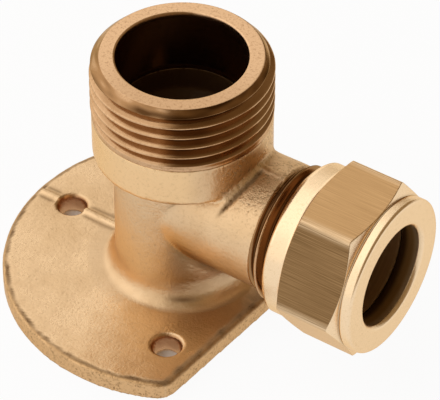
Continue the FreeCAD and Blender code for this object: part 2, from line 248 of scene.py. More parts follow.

# The trimmed edge of the flange: a ragged dark line just inside it, wider along the straight side.
# It is partly dirt on the edge and partly a painted dark reflection along the edge's rounding.
# A broken line of painted shade runs round the collar's lower edge too.
RIM_LINE_INSET = 0.55 * MM
RIM_LINE_WIDTH = 0.3 * MM
RIM_LINE_MORE = 0.26 * MM
RIM_LINE_WANDER = 0.07 * MM
RIM_LINE_DEPTH = 0.09 * MM
RIM_LINE_DROP = 0.9 * MM
COLLAR_SHADE_RISE = 0.15 * MM
COLLAR_SHADE_WIDTH = 0.22 * MM
COLLAR_SHADE_INNER = 11.5 * MM
COLLAR_SHADE_SIDE = 9.0 * MM
ragged = uneven(points, 1.2 * MM, 5 * MM, seed=11)
line_width = RIM_LINE_WIDTH + RIM_LINE_MORE * (flat_gap < round_gap)
line_gap = rim_gap - RIM_LINE_INSET - RIM_LINE_WANDER * ragged
rim_line = soft_step(1.5 * bell(line_gap, line_width)) * np.clip(0.75 + 0.15 * ragged, 0.5, 1)
rim_line = rim_line * on_flange * rises(z, FLANGE_THICKNESS - RIM_LINE_DROP, 0.6 * MM)
# The flange's outer wall is marked here to be painted darker and browner, as shade.
rim_wall = falls(rim_gap, 0.6 * MM, 0.3 * MM) * on_flange
collar_shade = bell(z - COLLAR_FOOT - COLLAR_SHADE_RISE, COLLAR_SHADE_WIDTH)
collar_shade = collar_shade * (from_outlet_axis > COLLAR_SHADE_INNER) * (x < COLLAR_SHADE_SIDE)
collar_shade = collar_shade * np.clip(0.6 + 0.3 * ragged, 0.2, 0.9)
rim_line = np.maximum(rim_line, collar_shade)

# The screw holes and the bores, whose walls are painted dark as shade
BORE_SKIN = 0.05 * MM
SOCKET_SKIN = 0.2 * MM
hole_x = HOLE_CENTRE + HOLE_CIRCLE * np.cos(HOLE_TURNS)
hole_y = HOLE_CIRCLE * np.sin(HOLE_TURNS)
hole_gap = np.hypot(x[:, None] - hole_x, y[:, None] - hole_y).min(axis=1) - HOLE_RADIUS
drilled = falls(hole_gap, HOLE_EDGE, HOLE_EDGE) * on_flange * below_top
in_outlet = (from_outlet_axis < OUTLET_BORE + BORE_SKIN) & (z > BRANCH_HEIGHT + SOCKET_RADIUS)
in_stem = (from_outlet_axis < SOCKET_RADIUS) & (z > BRANCH_HEIGHT / 2)
in_branch = (from_branch_axis < SOCKET_RADIUS + SOCKET_SKIN) & (x > 0)
inside = in_outlet | in_stem | in_branch

# The stem, the collar and the branch, which have tones of their own.
# The top of the branch takes a share of the collar's lighter tone as painted light, and its underside is
# painted darker as shade.
STEM_REACH = 11.5 * MM
STEM_START = 5.0 * MM
STEM_SIDE = 5.0 * MM
STEM_FRONT_TURN = math.radians(-80)
STEM_FRONT_SPREAD = math.radians(38)
COLLAR_SIDE = 10.0 * MM
BRANCH_START = 4.0 * MM
BRANCH_REACH = 10.6 * MM
UPPER_BRANCH_END = 25.5 * MM
stem = falls(from_outlet_axis, STEM_REACH, MM) * rises(z, STEM_START, 3 * MM) * (z < COLLAR_FOOT)
stem = stem * falls(x, STEM_SIDE, 6 * MM) * ~inside
stem_front = stem * falls(np.abs(turn - STEM_FRONT_TURN), 2 * STEM_FRONT_SPREAD, STEM_FRONT_SPREAD)
collar = rises(from_outlet_axis, COLLAR_INNER, MM) * rises(z, COLLAR_FOOT, MM) * falls(x, COLLAR_SIDE, 3 * MM)
on_branch = rises(x, BRANCH_START, 5 * MM) * falls(from_branch_axis, BRANCH_REACH, 0.5 * MM) * ~inside
branch_top_light = on_branch * rises(z, BRANCH_HEIGHT, 4 * MM) * (z < UPPER_BRANCH_END)
under_branch = on_branch * falls(facing[:, 2], 0.1, 0.5) * (z < BRANCH_HEIGHT)

# A low bead with a crease beside it where the collar meets the branch, on a saddle with a coarser skin.
# The crease shows at the front alone, and is painted dark there as shade.
SADDLE_START = 10.0 * MM
SADDLE_FOOT = 23.0 * MM
BEAD_FOOT = 23.2 * MM
BEAD_FROM_OUTLET = 13.4 * MM
BEAD_FROM_BRANCH = 9.8 * MM
BEAD_WIDTH = 0.3 * MM
BEAD_HEIGHT = 0.16 * MM
CREASE_FOOT = 22.0 * MM
CREASE_SIDE = 0.5 * MM
CREASE_FROM_OUTLET = 14.05 * MM
CREASE_WIDTH = 0.3 * MM
CREASE_DEPTH = 0.14 * MM
bead_gap = np.hypot(from_outlet_axis - BEAD_FROM_OUTLET, from_branch_axis - BEAD_FROM_BRANCH)
bead = bell(bead_gap, BEAD_WIDTH) * rises(z, BEAD_FOOT, 2 * MM) * (x > 0)
crease_gap = np.hypot(from_outlet_axis - CREASE_FROM_OUTLET, from_branch_axis - NECK_RADIUS)
crease_front = rises(z, CREASE_FOOT, 4 * MM) * falls(y, CREASE_SIDE, 2 * MM) * (x > 0)
crease = soft_step(1.8 * bell(crease_gap, CREASE_WIDTH) * crease_front)
saddle = rises(x, SADDLE_START, 3 * MM) * rises(z, SADDLE_FOOT, 4 * MM) * ~inside

# The angle under the branch is painted darker as shade, apart from a lighter part on the stem
ARMPIT_FROM_BRANCH = 9.5 * MM
ARMPIT_WIDTH = 3.0 * MM
ARMPIT_START = 2.0 * MM
ARMPIT_TOP = BRANCH_HEIGHT + 2.0 * MM
ARMPIT_LIGHT_START = 5.0 * MM
ARMPIT_LIGHT_REACH = 10.6 * MM
armpit_gap = np.hypot(from_outlet_axis - STEM_RADIUS, from_branch_axis - ARMPIT_FROM_BRANCH)
armpit_shade = bell(armpit_gap, ARMPIT_WIDTH) * rises(x, ARMPIT_START, 4 * MM) * falls(z, ARMPIT_TOP, 5 * MM)
armpit_light = falls(from_outlet_axis, ARMPIT_LIGHT_REACH, 0.8 * MM) * rises(x, ARMPIT_LIGHT_START, 2 * MM)
armpit_shade = armpit_shade * (1 - armpit_light)

# The mould's parting line is low and narrow, so the solid's even ridge is brought down by a wandering share
RIDGE_REACH = 1.1 * MM
RIDGE_KEPT_REACH = 0.62 * MM
RIDGE_START = 11.0 * MM
NECK_RIDGE_START = 13.5 * MM
NECK_RIDGE_FOOT = 25.0 * MM
NECK_RIDGE_TOP = 29.0 * MM
NECK_RIDGE_DROP = 0.2
on_ridge = falls(np.abs(y), RIDGE_REACH, 0.4 * MM) * ~inside
ridge_kept = np.clip(0.7 + 0.25 * uneven(points * (1, 0, 0), 4 * MM, 12 * MM, seed=5), 0.2, 1)
ridge_kept = ridge_kept * falls(np.abs(y), RIDGE_KEPT_REACH, 0.3 * MM)
on_flange_ridge = (x < 0) & (z < FLANGE_THICKNESS + MM)
flange_ridge = np.where(on_flange_ridge, np.maximum(z - FLANGE_THICKNESS, 0), 0)
on_neck_ridge = (x > NECK_RIDGE_START) & (z > NECK_RIDGE_FOOT) & (z < NECK_RIDGE_TOP)
neck_ridge = np.where(on_neck_ridge, np.maximum(from_branch_axis - NECK_RADIUS, 0), 0)
ridge_drop = (flange_ridge * (1 - ridge_kept) + NECK_RIDGE_DROP * neck_ridge) * on_ridge

# The skin is moved along its normals, but level at the foot and in the holes, and stays above the wall face
HOLLOW_DEPTH = 0.012 * MM
WALL_FACE = 0.05 * MM
# The skin's hollows below the collar are painted dark as shade, through the hollow mask.
hollow = hollows(skin, points, facing)
on_creases = (from_branch_axis > NECK_RADIUS + 0.1 * MM) * (z < COLLAR_FOOT) * (1 - 0.8 * on_ridge)
lift = np.where(z > WALL_FACE, UNEVEN_HEIGHT * uneven(points, 1.6 * MM, 8 * MM, seed=7), 0.0)
lift += BEAD_HEIGHT * bead - CREASE_DEPTH * crease - RIM_LINE_DEPTH * rim_line
lift -= ridge_drop * rises(from_outlet_axis, RIDGE_START, 3 * MM)
moved = points + facing * lift[:, None]
moved[:, :2] -= points[:, :2] * (draw_in / np.maximum(from_outlet_axis, MM))[:, None]
moved[:, :2] += facing[:, :2] * (HOLE_DRAFT * drilled * (1 - z / FLANGE_THICKNESS))[:, None]
moved[:, 2] = np.maximum(moved[:, 2], 0)
skin.vertices.foreach_set("co", moved.ravel())
set_masks(skin, {
    "rim_line": np.maximum(rim_line, crease),
    "rim_wall": rim_wall,
    "saddle": saddle,
    "drilled": drilled,
    "inside": inside,
    "stem": stem_front,
    "collar": np.maximum(collar, 0.2 * branch_top_light),
    "under": np.maximum(0.35 * under_branch, armpit_shade),
    "satin": np.maximum(on_branch, stem),
    "hollow": np.maximum(1.6 * foot_shade, soft_step(hollow / HOLLOW_DEPTH) * on_creases),
})
skin.shade_smooth()
skin.update()


def add_node(tree, kind, sockets, **settings):
    """Add a node to a tree: a socket given another node's output is linked to it, any other value is set."""
    node = tree.nodes.new(kind)
    for name, value in settings.items():
        setattr(node, name, value)
    for name, value in sockets.items():
        if isinstance(value, bpy.types.NodeSocket):
            tree.links.new(value, node.inputs[name])
        else:
            node.inputs[name].default_value = value
    return node


def calculate(tree, operation, *values):
    """The result of a Math node, kept between 0 and 1."""
    node = add_node(tree, "ShaderNodeMath", dict(enumerate(values)), operation=operation, use_clamp=True)
    return node.outputs[0]


def mix_colours(tree, amount, first, second):
    """Colour that goes from first to second as amount goes from 0 to 1."""
    mix = add_node(tree, "ShaderNodeMix", {}, data_type="RGBA")
    colours = [socket for socket in mix.inputs if socket.type == "RGBA"]
    for socket, value in zip(colours, (first, second)):
        if isinstance(value, bpy.types.NodeSocket):
            tree.links.new(value, socket)
        else:
            socket.default_value = (*value, 1.0)
    tree.links.new(amount, mix.inputs[0])
    return next(socket for socket in mix.outputs if socket.type == "RGBA")


def read_mask(tree, name):
    """One of the piece's own attributes, as a value."""
    return add_node(tree, "ShaderNodeAttribute", {}, attribute_name=name).outputs["Fac"]


def new_group(name, inputs, outputs):
    """An empty shader node group: inputs by name and kind, float outputs, and its two end nodes."""
    group = bpy.data.node_groups.new(name, "ShaderNodeTree")
    for socket, kind in inputs.items():
        group.interface.new_socket(socket, in_out="INPUT", socket_type=f"NodeSocket{kind}")
    for socket in outputs:
        group.interface.new_socket(socket, in_out="OUTPUT", socket_type="NodeSocketFloat")
    return group, group.nodes.new("NodeGroupInput"), group.nodes.new("NodeGroupOutput")


SPECKS_TO_PATCHES = 14.0


def make_tarnish():
    """Brown patches some millimetres across, and far smaller specks: two noises, each cut at a level."""
    group, given, result = new_group("tarnish", {"Vector": "Vector", "Scale": "Float"}, ["Patches", "Specks"])
    wide = add_node(group, "ShaderNodeTexNoise", {
        "Vector": given.outputs["Vector"], "Scale": given.outputs["Scale"], "Detail": 4.0, "Roughness": 0.6})
    fine_scale = add_node(group, "ShaderNodeMath", {
        0: given.outputs["Scale"], 1: SPECKS_TO_PATCHES}, operation="MULTIPLY")
    fine = add_node(group, "ShaderNodeTexNoise", {
        "Vector": given.outputs["Vector"], "Scale": fine_scale.outputs[0], "Detail": 3.0, "Roughness": 0.7})
    patches = add_node(group, "ShaderNodeMapRange", {
        "Value": wide.outputs["Fac"], "From Min": 0.38, "From Max": 0.66})
    specks = add_node(group, "ShaderNodeMapRange", {
        "Value": fine.outputs["Fac"], "From Min": 0.54, "From Max": 0.72})
    group.links.new(patches.outputs[0], result.inputs["Patches"])
    group.links.new(specks.outputs[0], result.inputs["Specks"])
    return group


def make_cast_grain():
    """Sand grain of a blasted casting: fine and coarse noise for its height, and its low places as a mask."""
    group, given, result = new_group("cast_grain", {"Vector": "Vector"}, ["Height", "Low"])
    fine = add_node(group, "ShaderNodeTexNoise", {
        "Vector": given.outputs["Vector"], "Scale": 4200.0, "Detail": 3.0, "Roughness": 0.65})
    coarse = add_node(group, "ShaderNodeTexNoise", {
        "Vector": given.outputs["Vector"], "Scale": 2000.0, "Detail": 2.0, "Roughness": 0.5})
    height = add_node(group, "ShaderNodeMath", {
        0: coarse.outputs["Fac"], 1: 1.2, 2: fine.outputs["Fac"]}, operation="MULTIPLY_ADD")
    low = add_node(group, "ShaderNodeMapRange", {
        "Value": height.outputs[0], "From Min": 1.05, "From Max": 0.75})
    group.links.new(height.outputs[0], result.inputs["Height"])
    group.links.new(low.outputs[0], result.inputs["Low"])
    return group


tarnish = make_tarnish()
cast_grain = make_cast_grain()
GRAZING_TINT = (0.95, 0.78, 0.56, 1.0)


def new_metal(name):
    """A material of bare metal, with its tree, its Principled BSDF and the piece's Object coordinates."""
    material = bpy.data.materials.new(name)
    material.use_nodes = True
    tree = material.node_tree
    shader = tree.nodes["Principled BSDF"]
    shader.inputs["Metallic"].default_value = 1.0
    shader.inputs["Specular Tint"].default_value = GRAZING_TINT
    shader.inputs["Specular IOR Level"].default_value = 0.1
    return material, tree, shader, add_node(tree, "ShaderNodeTexCoord", {}).outputs["Object"]


CAST_PALE = (0.78, 0.55, 0.332)
CAST_BROWN = (0.69, 0.47, 0.268)
CAST_STEM = (0.74, 0.58, 0.39)
CAST_COLLAR = (0.885, 0.61, 0.335)
CAST_UNDER_SHADE = (0.5, 0.365, 0.21)
CAST_RIM_SHADE = (0.74, 0.47, 0.24)
CAST_DIRT_AND_SHADE = (0.12, 0.055, 0.014)
HOLE_SHADE_BROWN = (0.50, 0.27, 0.135)
SHADE_DARK = (0.06, 0.03, 0.011)
CAST_PATCH_SCALE = 120.0
GRAIN_DEPTH = 0.04 * MM
COARSE_GRAIN_MORE = 0.05 * MM
SATIN_GRAIN_MORE = 0.02 * MM
cast_brass, tree, shader, place_node = new_metal("cast_brass")
patches = add_node(tree, "ShaderNodeGroup", {
    "Vector": place_node, "Scale": CAST_PATCH_SCALE}, node_tree=tarnish)
grain = add_node(tree, "ShaderNodeGroup", {"Vector": place_node}, node_tree=cast_grain)

# Dirt and painted shade: the dark lines hold dirt on the flange's edge, a painted dark reflection along its
# rounding and painted shade in the crease and under the collar.
# Specks of dirt lie on the rim's wall, painted shade in the hollows, and dirt in the low places of the grain.
rim_dirt_and_shade = calculate(tree, "MULTIPLY_ADD", grain.outputs["Low"], 0.3, 0.75)
rim_dirt_and_shade = calculate(tree, "MULTIPLY", rim_dirt_and_shade, read_mask(tree, "rim_line"))
wall_dirt = calculate(tree, "MULTIPLY_ADD", patches.outputs["Specks"], 0.4, 0.05)
wall_dirt = calculate(tree, "MULTIPLY", wall_dirt, read_mask(tree, "rim_wall"))
coarse = calculate(tree, "MAXIMUM", read_mask(tree, "rim_wall"), read_mask(tree, "saddle"))
hollow_shade_and_wall_dirt = calculate(tree, "MULTIPLY_ADD", read_mask(tree, "hollow"), 0.5, wall_dirt)
grain_dirt = calculate(tree, "MULTIPLY_ADD", coarse, 0.5, 0.14)
grain_dirt = calculate(tree, "MULTIPLY", grain.outputs["Low"], grain_dirt)
dirt_and_shade = calculate(tree, "MAXIMUM", calculate(tree, "MAXIMUM", rim_dirt_and_shade, hollow_shade_and_wall_dirt), grain_dirt)

# One tone over another, from the blasted skin to the drilled and bored places.
# The collar's tone lightens the top of the branch as painted light, and the underside of the branch, the
# rim's wall, the hole walls and the bores are painted darker as shade.
colour = mix_colours(tree, patches.outputs["Patches"], CAST_PALE, CAST_BROWN)
colour = mix_colours(tree, read_mask(tree, "stem"), colour, CAST_STEM)
colour = mix_colours(tree, read_mask(tree, "collar"), colour, CAST_COLLAR)
colour = mix_colours(tree, read_mask(tree, "under"), colour, CAST_UNDER_SHADE)
colour = mix_colours(tree, read_mask(tree, "rim_wall"), colour, CAST_RIM_SHADE)
colour = mix_colours(tree, dirt_and_shade, colour, CAST_DIRT_AND_SHADE)
colour = mix_colours(tree, read_mask(tree, "drilled"), colour, HOLE_SHADE_BROWN)
colour = mix_colours(tree, read_mask(tree, "inside"), colour, SHADE_DARK)
tree.links.new(colour, shader.inputs["Base Color"])

# Dirt, painted shade and the bores are dull, and the stem and branch have a coarser satin than the rest
dull = calculate(tree, "MAXIMUM", dirt_and_shade, read_mask(tree, "inside"))
tree.links.new(calculate(tree, "SUBTRACT", 1.0, dull), shader.inputs["Metallic"])
rough = calculate(tree, "MULTIPLY_ADD", patches.outputs["Patches"], 0.06, 0.26)
rough = calculate(tree, "MULTIPLY_ADD", read_mask(tree, "satin"), 0.1, rough)
tree.links.new(calculate(tree, "MULTIPLY_ADD", dirt_and_shade, 0.2, rough), shader.inputs["Roughness"])
grain_depth = calculate(tree, "MULTIPLY_ADD", coarse, COARSE_GRAIN_MORE, GRAIN_DEPTH)
grain_depth = calculate(tree, "MULTIPLY_ADD", read_mask(tree, "satin"), SATIN_GRAIN_MORE, grain_depth)
bump = add_node(tree, "ShaderNodeBump", {
    "Height": grain.outputs["Height"], "Strength": 0.8, "Distance": grain_depth})
tree.links.new(bump.outputs[0], shader.inputs["Normal"])

skin.materials.clear()
skin.materials.append(cast_brass)
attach(cast_body, "body")
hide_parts("fitting_body")

# Outlet end: the 3/4 inch parallel thread cut on the casting, with its faced and chamfered end and its bore.
# The thread is a right-hand helix that fades out into the collar.
THREAD_PITCH = 25.4 / 14 * MM
THREAD_DEPTH = 1.16 * MM
FLANK_MIDDLE = 0.52
FLANK_SLOPE = 1.22
FLANK_ROUNDING = 0.4
CREST_TONE = 0.15
FLANK_TONE = 0.48
CREST_WIDTH = 0.2
ROOT_START = 0.78
ROOT_EDGE = 0.2
OUTLET_RADIUS = mounts["outlet_thread"]["dims"]["r_mm"] * MM
OUTLET_TOP = cad_box[1][2]
OUTLET_END_RADIUS = 11.8 * MM
OUTLET_PHASE = 0.518
OUTLET_FADE = 1.7 * MM
RUNOUT_DROP = 0.14 * MM
CHAMFER_EDGE = 0.1 * MM
END_BLEND = 0.12 * MM
BORE_EDGE = 0.12 * MM
FACE_GAP = 0.02 * MM
SEAM_DEPTH = 0.1 * MM
AROUND = 320
# The outlet's bore wall is painted dark as shade by this share.
OUTLET_BORE_SHADE = 0.4
FACE_DIRT = 0.14
FACE_DIRT_TURN = math.radians(-62)
# The side of the outlet where the thread is painted browner as shade:
SHADE_FROM = math.radians(-72)
SHADE_EDGE = math.radians(14)
SHADE_TO = math.radians(8)
SHADE_FADE = math.radians(55)
LIT_SIDE_TONE = 0.62
SHADED_SIDE_MORE = 0.85
CHAMFER_TONE = 0.52
CHAMFER_SHADE_MORE = 0.2
CHAMFER_GRIME = 0.16
THREAD_GRIME = 0.04
GRIME_STRETCH = (0.15, 0.15, 1)


def thread_form(turns):
    """Depth of a rounded V thread as a share of its whole depth: 1 at whole turns, 0 halfway between them."""
    wave = 2 * np.abs(turns - np.floor(turns) - 0.5)
    flank = np.clip(0.5 + (wave - FLANK_MIDDLE) * FLANK_SLOPE, 0, 1)
    return (1 - FLANK_ROUNDING) * flank + FLANK_ROUNDING * soft_step(flank)


def thread_tone(depth):
    """How brown a thread is by its depth: bright on a narrow crest, brown on the flanks, and painted dark at
    the root as shade.
    """
    tone = CREST_TONE + (FLANK_TONE - CREST_TONE) * rises(depth, 0, CREST_WIDTH)
    return tone + (1 - FLANK_TONE) * rises(depth, ROOT_START, ROOT_EDGE)


def soft_min(first, second, blend):
    """The lesser of two arrays, with the corner between them rounded over the length blend."""
    share = np.clip(0.5 + 0.5 * (second - first) / blend, 0, 1)
    return second + (first - second) * share - blend * share * (1 - share)


def along(*stops):
    """Even steps from stop to stop: each stop is a value and how many steps lead up to it."""
    values = [np.array([stops[0][0]], float)]
    for (start, _), (end, steps) in zip(stops, stops[1:]):
        values.append(np.linspace(start, end, steps + 1)[1:])
    return np.concatenate(values)[:, None]


def section(*corners):
    """Places along a turned outline: each corner is axial place, radius and how many steps lead up to it."""
    axial = along(*[(place, steps) for place, _, steps in corners])
    radial = along(*[(radius, steps) for _, radius, steps in corners])
    return axial, radial


def lathe_piece(name, axis, axial, radial, masks):
    """A closed ring-shaped mesh: rows go round the section, columns round the axis, both back to the start.

    Column k stands at the angle 2 pi k / columns about the outlet's axis, or the branch's, measured from
    the first of the two other axes; a row's points lie at its axial place and each at its own radius.
    """
    rows, columns = radial.shape
    angle = np.linspace(0, 2 * math.pi, columns, endpoint=False)
    axial = np.broadcast_to(axial, radial.shape)
    across, upward = radial * np.cos(angle), radial * np.sin(angle)
    points = [across, upward, axial] if axis == "outlet" else [axial, across, upward + BRANCH_HEIGHT]
    index = np.arange(rows * columns).reshape(rows, columns)
    after = np.roll(index, -1, axis=0)
    quads = np.stack([index, np.roll(index, -1, axis=1), np.roll(after, -1, axis=1), after], axis=-1)
    mesh = bpy.data.meshes.new(name)
    mesh.from_pydata(np.stack(points, axis=-1).reshape(-1, 3), [], quads.reshape(-1, 4))
    set_masks(mesh, {mask: np.broadcast_to(values, radial.shape) for mask, values in masks.items()})
    mesh.shade_smooth()
    piece = bpy.data.objects.new(name, mesh)
    bpy.context.scene.collection.objects.link(piece)
    return piece


thread_angle = np.linspace(0, 2 * math.pi, AROUND, endpoint=False)
each_way = np.ones((1, AROUND))
thread_z = along((COLLAR_TOP - SEAM_DEPTH, 0), (COLLAR_TOP, 1), (OUTLET_TOP - FACE_GAP, 120))
depth = thread_form(thread_z / THREAD_PITCH - thread_angle / (2 * math.pi) + OUTLET_PHASE)
fade = rises(thread_z, COLLAR_TOP, OUTLET_FADE)
cut = OUTLET_RADIUS - RUNOUT_DROP * (1 - fade) - THREAD_DEPTH * depth * fade
chamfer = (OUTLET_END_RADIUS + OUTLET_TOP - thread_z) * each_way
chamfered = soft_step((cut - chamfer) / CHAMFER_EDGE + 0.5)
outside_r = soft_min(cut, chamfer, END_BLEND)
face_r = along((OUTLET_END_RADIUS - END_BLEND / 2, 0), (OUTLET_BORE + BORE_EDGE, 8)) * each_way
wall_z = along((OUTLET_TOP - BORE_EDGE, 0), (COLLAR_TOP - SEAM_DEPTH, 10))
wall_r = np.full_like(wall_z, OUTLET_BORE) * each_way

# The thread and its chamfer are painted browner on one side of the outlet, as shade on the side away from the
# light, and grime lies in streaks round it, most on the chamfer
round_outlet = [OUTLET_RADIUS * np.cos(thread_angle), OUTLET_RADIUS * np.sin(thread_angle), thread_z]
round_outlet = np.stack(np.broadcast_arrays(*round_outlet), axis=-1)
grime = uneven(round_outlet.reshape(-1, 3) * GRIME_STRETCH, 0.4 * MM, 1.6 * MM, seed=3)
grime = grime.reshape(depth.shape)
thread_turn = np.mod(thread_angle + math.pi, 2 * math.pi) - math.pi
shaded_side = rises(thread_turn, SHADE_FROM, SHADE_EDGE) * falls(thread_turn, SHADE_TO, SHADE_FADE)
tone = thread_tone(depth * fade) * (LIT_SIDE_TONE + SHADED_SIDE_MORE * shaded_side)
chamfer_tone = CHAMFER_TONE + CHAMFER_SHADE_MORE * shaded_side + CHAMFER_GRIME * grime
tone = tone + (np.clip(chamfer_tone, 0.3, 1) - tone) * chamfered
tone = np.clip(tone + THREAD_GRIME * grime, 0.08, 1)
face_tone = FACE_DIRT * soft_step(np.cos(thread_angle - FACE_DIRT_TURN)) + 0 * face_r
outlet_end = lathe_piece(
    "outlet_end", "outlet",
    np.concatenate([thread_z, np.full((len(face_r), 1), OUTLET_TOP), wall_z]),
    np.concatenate([outside_r, face_r, wall_r]),
    {"tone": np.concatenate([tone, face_tone, 0 * wall_r]),
     "inside": np.concatenate([0 * outside_r, 0 * face_r, 0 * wall_r + OUTLET_BORE_SHADE])})


def make_tool_marks():
    """Fine lines that a tool leaves side by side: noise drawn out along the lines and close across them."""
    group, given, result = new_group(
        "tool_marks", {"Across": "Float", "Along": "Float", "Spacing": "Float"}, ["Height", "Tone"])
    fine = add_node(group, "ShaderNodeMath", {
        0: given.outputs["Across"], 1: given.outputs["Spacing"]}, operation="DIVIDE")
    spot = add_node(group, "ShaderNodeCombineXYZ", {"X": fine.outputs[0], "Y": given.outputs["Along"]})
    lines = add_node(group, "ShaderNodeTexNoise", {
        "Vector": spot.outputs[0], "Scale": 1.0, "Detail": 3.0, "Roughness": 0.7}, noise_dimensions="2D")
    bands = add_node(group, "ShaderNodeTexNoise", {
        "Vector": spot.outputs[0], "Scale": 0.12, "Detail": 2.0}, noise_dimensions="2D")
    group.links.new(lines.outputs["Fac"], result.inputs["Height"])
    group.links.new(bands.outputs["Fac"], result.inputs["Tone"])
    return group


tool_marks = make_tool_marks()
CUT_BRIGHT = (0.71, 0.46, 0.27)
CUT_BROWN = (0.34, 0.185, 0.083)
# The thread's root is painted this dark colour as shade.
CUT_ROOT_SHADE = (0.10, 0.045, 0.016)
CUT_PATCH_SCALE = 170.0
CUT_SPACING = 0.07 * MM
TOOL_DEPTH = 0.02 * MM


def cut_brass(name, axis):
    """Freshly cut brass: tool lines along one axis, brown on the thread, with painted shade at its root and
    in the bore.
    """
    material, tree, shader, place_node = new_metal(name)
    split = add_node(tree, "ShaderNodeSeparateXYZ", {"Vector": place_node})
    marks = add_node(tree, "ShaderNodeGroup", {
        "Across": split.outputs[axis], "Spacing": CUT_SPACING}, node_tree=tool_marks)
    patches = add_node(tree, "ShaderNodeGroup", {
        "Vector": place_node, "Scale": CUT_PATCH_SCALE}, node_tree=tarnish)
    grain = add_node(tree, "ShaderNodeGroup", {"Vector": place_node}, node_tree=cast_grain)
    tone = read_mask(tree, "tone")
    flank = calculate(tree, "MULTIPLY", tone, 2.2)
    root = calculate(tree, "MULTIPLY_ADD", tone, 2.0, -1.0)
    specks = calculate(tree, "MULTIPLY", patches.outputs["Specks"], 0.5)
    specks = calculate(tree, "MULTIPLY_ADD", grain.outputs["Low"], 0.5, specks)
    colour = mix_colours(tree, specks, CUT_BRIGHT, CUT_BROWN)
    colour = mix_colours(tree, flank, colour, CUT_BROWN)
    colour = mix_colours(tree, root, colour, CUT_ROOT_SHADE)
    colour = mix_colours(tree, read_mask(tree, "inside"), colour, SHADE_DARK)
    tree.links.new(colour, shader.inputs["Base Color"])
    rough = calculate(tree, "MULTIPLY_ADD", marks.outputs["Tone"], 0.14, 0.13)
    tree.links.new(rough, shader.inputs["Roughness"])
    bump = add_node(tree, "ShaderNodeBump", {
        "Height": marks.outputs["Height"], "Strength": 0.25, "Distance": TOOL_DEPTH})
    tree.links.new(bump.outputs[0], shader.inputs["Normal"])
    return material


outlet_end.data.materials.append(cut_brass("outlet_cut_brass", "Z"))
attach(outlet_end, "body")
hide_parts("fitting_body")

# Spigot: the half inch thread on the branch that the nut runs on, with the seat and socket inside it.
# A relief behind the last turn leaves the thread standing proud of the neck.
SPIGOT_RADIUS = 10.48 * MM
SPIGOT_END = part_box("fitting_body")[1].x
SPIGOT_CHAMFER = 0.6 * MM
SPIGOT_BLEND = 0.1 * MM
SPIGOT_SEAM = 0.45 * MM
RELIEF_RADIUS = 9.2 * MM
RELIEF_LENGTH = 0.4 * MM
RELIEF_SLOPE = 1.8
RELIEF_BLEND = 0.15 * MM
SEAT_RADIUS = 8.8 * MM
SEAT_DEPTH = 2.0 * MM
SPIGOT_PHASE = 0.338
EDGE_RADIUS = 9.66 * MM
EDGE_BACK = 0.15 * MM
EDGE_WIDTH = 0.3 * MM
EDGE_DROP = 0.1 * MM
# The socket inside the spigot is painted dark as shade by this share.
SOCKET_SHADE = 0.6
thread_x = along((NECK_END - SPIGOT_SEAM, 0), (NECK_END + EDGE_BACK, 6), (SPIGOT_END - FACE_GAP, 100))
depth = thread_form(thread_x / THREAD_PITCH - thread_angle / (2 * math.pi) + SPIGOT_PHASE)
past_relief = np.maximum(thread_x - NECK_END - RELIEF_LENGTH, 0)
rise = (RELIEF_RADIUS + RELIEF_SLOPE * past_relief) * each_way
past_edge = (thread_x - NECK_END + EDGE_BACK) / EDGE_WIDTH
rise = np.maximum(rise, EDGE_RADIUS - EDGE_DROP * past_edge ** 2)
cut = soft_min(SPIGOT_RADIUS - THREAD_DEPTH * depth, rise, RELIEF_BLEND)
chamfer = (SPIGOT_RADIUS - SPIGOT_CHAMFER + SPIGOT_END - thread_x) * each_way
outside_r = soft_min(cut, chamfer, SPIGOT_BLEND)
face_r = np.minimum(along((SPIGOT_RADIUS - THREAD_DEPTH, 0), (SEAT_RADIUS, 3)), outside_r[-1:])
seat_x, seat_r = section(
    (SPIGOT_END - SEAT_DEPTH / 4, SEAT_RADIUS - (SEAT_RADIUS - SOCKET_RADIUS) / 4, 0),
    (SPIGOT_END - SEAT_DEPTH, SOCKET_RADIUS, 3),
    (NECK_END - SEAM_DEPTH, SOCKET_RADIUS, 6))
tone = thread_tone(np.clip((SPIGOT_RADIUS - outside_r) / THREAD_DEPTH, 0, 1))
spigot_end = lathe_piece(
    "spigot_end", "branch",
    np.concatenate([thread_x, np.full((len(face_r), 1), SPIGOT_END), seat_x]),
    np.concatenate([outside_r, face_r, seat_r * each_way]),
    {"tone": np.concatenate([tone, 0 * face_r, 0 * seat_r * each_way]),
     "inside": np.concatenate([0 * outside_r, 0 * face_r, SOCKET_SHADE + 0 * seat_r * each_way])})
spigot_end.data.materials.append(cut_brass("spigot_cut_brass", "X"))
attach(spigot_end, "body")
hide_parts("fitting_body")

# Olive: the soft brass ring that the nut presses onto the pipe, turned smooth and mostly out of sight.
# It is loose in the nut until that is tightened. Its solid shows as it is, and only gets its finish here.
OLIVE_BRASS = (0.62, 0.40, 0.20)
OLIVE_METALLIC = 0.6
OLIVE_ROUGHNESS = 0.3
OLIVE_SPACING = 0.08 * MM
olive_brass, tree, shader, place_node = new_metal("olive_brass")
split = add_node(tree, "ShaderNodeSeparateXYZ", {"Vector": place_node})
marks = add_node(tree, "ShaderNodeGroup", {
    "Across": split.outputs["X"], "Spacing": OLIVE_SPACING}, node_tree=tool_marks)
colour = mix_colours(tree, marks.outputs["Tone"], OLIVE_BRASS, CUT_BROWN)
tree.links.new(colour, shader.inputs["Base Color"])
shader.inputs["Metallic"].default_value = OLIVE_METALLIC
shader.inputs["Roughness"].default_value = OLIVE_ROUGHNESS
bump = add_node(tree, "ShaderNodeBump", {
    "Height": marks.outputs["Height"], "Strength": 0.2, "Distance": TOOL_DEPTH})
tree.links.new(bump.outputs[0], shader.inputs["Normal"])
olive = frame["nodes"]["olive"]
olive.data.materials.clear()
olive.data.materials.append(olive_brass)

